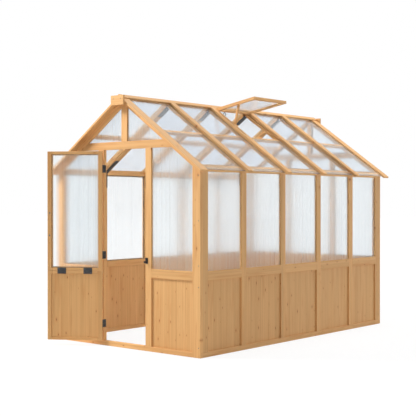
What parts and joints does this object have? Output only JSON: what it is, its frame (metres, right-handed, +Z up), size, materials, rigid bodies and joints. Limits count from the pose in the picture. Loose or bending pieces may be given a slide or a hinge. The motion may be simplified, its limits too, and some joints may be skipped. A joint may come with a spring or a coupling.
{
  "type": "wooden greenhouse",
  "caption": "Wooden walk-in greenhouse with twin-wall sheets, boarded lower walls, a hinged door with a turn latch and a propped roof vent",
  "frame": {"origin": "middle of the front sill's underside, on the ground under the doorway", "axes": "+X to the right wall as seen from the door, +Y from the door to the back wall, +Z up"},
  "size_m": [1.9914, 3.4613, 2.3702],
  "materials": {
    "wood": "honey-coloured planed softwood, lightly oiled",
    "twin_wall_sheet": "milky fluted twin-wall polycarbonate",
    "black_steel": "satin black powder coat",
    "bare_steel": "zinc-plated pins and bolt"
  },
  "bodies": {
    "house": {"back_boards": "wood", "back_gable_glazing": "twin_wall_sheet", "back_header": "wood", "back_mid_rails": "wood", "back_sill": "wood", "back_studs": "wood", "back_wall_glazing": "twin_wall_sheet", "barge_boards": "wood", "corner_stiles": "wood", "door_hinge_pins": "bare_steel", "door_jambs": "wood", "eave_beams": "wood", "eave_brackets": "black_steel", "front_boards": "wood", "front_gable_glazing": "twin_wall_sheet", "front_header": "wood", "front_mid_rails": "wood", "front_sill": "wood", "front_wall_glazing": "twin_wall_sheet", "gable_rafters": "wood", "hanging_eye": "black_steel", "jamb_hinge_leaves": "black_steel", "king_posts": "wood", "latch_plate": "black_steel", "left_purlins": "wood", "left_roof_battens": "wood", "left_roof_glazing": "twin_wall_sheet", "left_roof_rails": "wood", "left_wall_boards": "wood", "left_wall_glazing": "twin_wall_sheet", "left_wall_stiles": "wood", "prop_peg": "wood", "ridge_beam": "wood", "ridge_blocks": "wood", "ridge_brackets": "black_steel", "ridge_cap": "wood", "ridge_hinge_leaves": "black_steel", "right_purlins": "wood", "right_roof_battens": "wood", "right_roof_glazing": "twin_wall_sheet", "right_roof_rails": "wood", "right_wall_boards": "wood", "right_wall_glazing": "twin_wall_sheet", "right_wall_stiles": "wood", "side_mid_rails": "wood", "side_sills": "wood", "vent_hinge_pins": "bare_steel"},
    "door": {"door_stiles": "wood", "door_rails": "wood", "door_glazing": "twin_wall_sheet", "door_boards": "wood", "door_joining_plates": "black_steel", "door_handle": "black_steel", "door_hinge_leaves": "black_steel"},
    "vent": {"vent_rails": "wood", "vent_glazing": "twin_wall_sheet", "vent_hinge_leaves": "black_steel", "prop_bolt": "bare_steel"},
    "prop": {"vent_prop": "wood"},
    "lever": {"latch_lever": "black_steel"}
  },
  "joints": [
    {"name": "door_hinge", "type": "hinge", "parent": "house", "child": "door", "pos_m": [-0.265, -0.0235, 0], "axis": [0, 0, 1], "range_deg": [-17, 148]},
    {"name": "vent_hinge", "type": "hinge", "parent": "house", "child": "vent", "pos_m": [0.05, 0, 2.28698], "axis": [0, 1, 0], "range_deg": [0, 45.2]},
    {"name": "prop_fold", "type": "hinge", "parent": "vent", "child": "prop", "pos_m": [0.32038, 1.2744, 2.31411], "axis": [0, 1, 0], "range_deg": [0, 67]},
    {"name": "latch_turn", "type": "hinge", "parent": "house", "child": "lever", "pos_m": [0.285, -0.018, 0.829], "axis": [0, 1, 0], "range_deg": [0, 90]}
  ]
}
